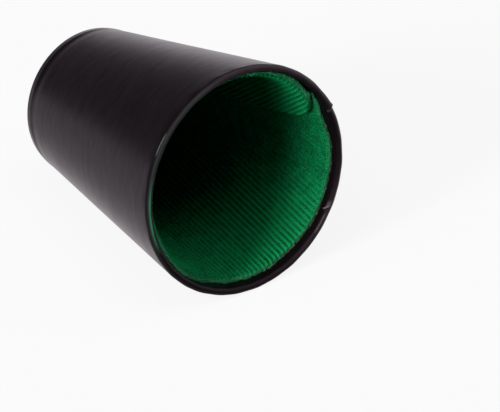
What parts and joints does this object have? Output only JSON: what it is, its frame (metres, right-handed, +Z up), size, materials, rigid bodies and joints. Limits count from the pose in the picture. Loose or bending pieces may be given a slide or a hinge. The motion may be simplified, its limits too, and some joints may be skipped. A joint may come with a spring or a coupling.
{
  "type": "dice cup",
  "caption": "Tapered leather-covered board cup for shaking dice, lined with ribbed cloth, lying on its side with its mouth towards +X.",
  "frame": {"origin": "on the surface that the cup lies on, below the middle of its box", "axes": "+Z up; the mouth faces +X and looks up by half the taper, with the lowest line of the wall flat on the surface; the base faces -X"},
  "size_m": [0.1, 0.0776, 0.0766],
  "materials": {
    "leather": "smooth black leather with a soft gloss",
    "board": "grey-brown bookbinder's board",
    "card": "plain thin card",
    "lining_cloth": "matt green ribbed felt cloth"
  },
  "bodies": {
    "root": {"wall_board": "board", "base_board": "board", "wall_cover": "leather", "base_filler": "card", "base_cover": "leather", "wall_lining": "lining_cloth", "lining_card": "card", "base_lining": "lining_cloth"}
  },
  "joints": []
}
